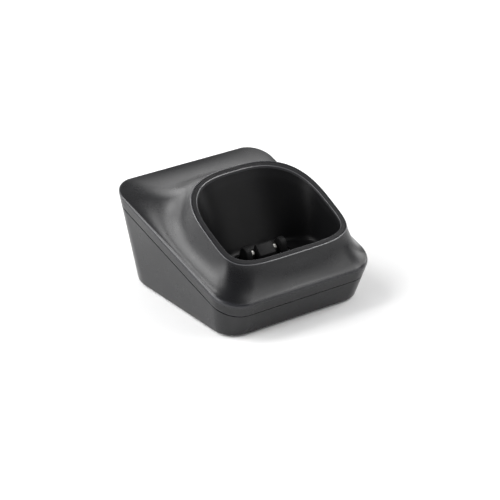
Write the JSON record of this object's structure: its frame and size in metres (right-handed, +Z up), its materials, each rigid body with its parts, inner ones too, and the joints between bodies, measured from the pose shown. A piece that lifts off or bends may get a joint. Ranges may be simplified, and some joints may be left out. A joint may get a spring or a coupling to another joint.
{
  "type": "cordless handset charging cradle",
  "caption": "Wedge-shaped desk cradle with a leaning, rounded well, two sprung charging contacts in its floor and a power inlet at the back.",
  "frame": {"origin": "centre of the footprint at the table, under the feet", "axes": "+X to the right as seen from the front, +Y to the back, +Z up"},
  "size_m": [0.0796, 0.0874, 0.0539],
  "materials": {
    "body_plastic": "satin moulded charcoal with a fine grain",
    "well_plastic": "smoother black moulding",
    "contact_nickel": "nickel plate, softly polished",
    "terminal_brass": "plain stamped",
    "board_laminate": "solder mask over glass laminate",
    "component_resin": "matt moulded body",
    "capacitor_sleeve": "shrunk sleeve",
    "fuse_resin": "dipped resin",
    "jack_plastic": "plain moulded",
    "ballast_steel": "rolled plate with a dull oxide",
    "zinc_screw": "zinc plated",
    "foot_rubber": "matt",
    "label_film": "blank printed film, satin"
  },
  "bodies": {
    "base": {"top_cover": "body_plastic", "cradle_insert": "well_plastic", "bottom_housing": "body_plastic", "contact_carrier": "well_plastic", "contact_terminal_left": "terminal_brass", "contact_terminal_right": "terminal_brass", "circuit_board": "board_laminate", "charge_controller_chip": "component_resin", "smoothing_capacitor": "capacitor_sleeve", "power_inductor": "component_resin", "rectifier_diode": "component_resin", "resettable_fuse": "fuse_resin", "sense_resistor_left": "component_resin", "sense_resistor_right": "component_resin", "power_jack": "jack_plastic", "jack_pin": "contact_nickel", "ballast_plate": "ballast_steel", "ballast_screw_left": "zinc_screw", "ballast_screw_right": "zinc_screw", "board_screw_front_left": "zinc_screw", "board_screw_front_right": "zinc_screw", "board_screw_rear_left": "zinc_screw", "board_screw_rear_right": "zinc_screw", "case_screw_front_left": "zinc_screw", "case_screw_front_right": "zinc_screw", "case_screw_rear_left": "zinc_screw", "case_screw_rear_right": "zinc_screw", "rubber_foot_front_left": "foot_rubber", "rubber_foot_front_right": "foot_rubber", "rubber_foot_rear_left": "foot_rubber", "rubber_foot_rear_right": "foot_rubber", "rating_label": "label_film"},
    "contact_left": {"charge_contact_left": "contact_nickel"},
    "contact_right": {"charge_contact_right": "contact_nickel"}
  },
  "joints": [
    {"name": "contact_left_press", "type": "hinge", "parent": "base", "child": "contact_left", "pos_m": [-0.006, -0.0058, 0.01725], "axis": [1, 0, 0], "range_deg": [0, 8], "stiffness_Nm_per_rad": 0.07, "springref_deg": -2.29},
    {"name": "contact_right_press", "type": "hinge", "parent": "base", "child": "contact_right", "pos_m": [0.006, -0.0058, 0.01725], "axis": [1, 0, 0], "range_deg": [0, 8], "stiffness_Nm_per_rad": 0.07, "springref_deg": -2.29}
  ]
}
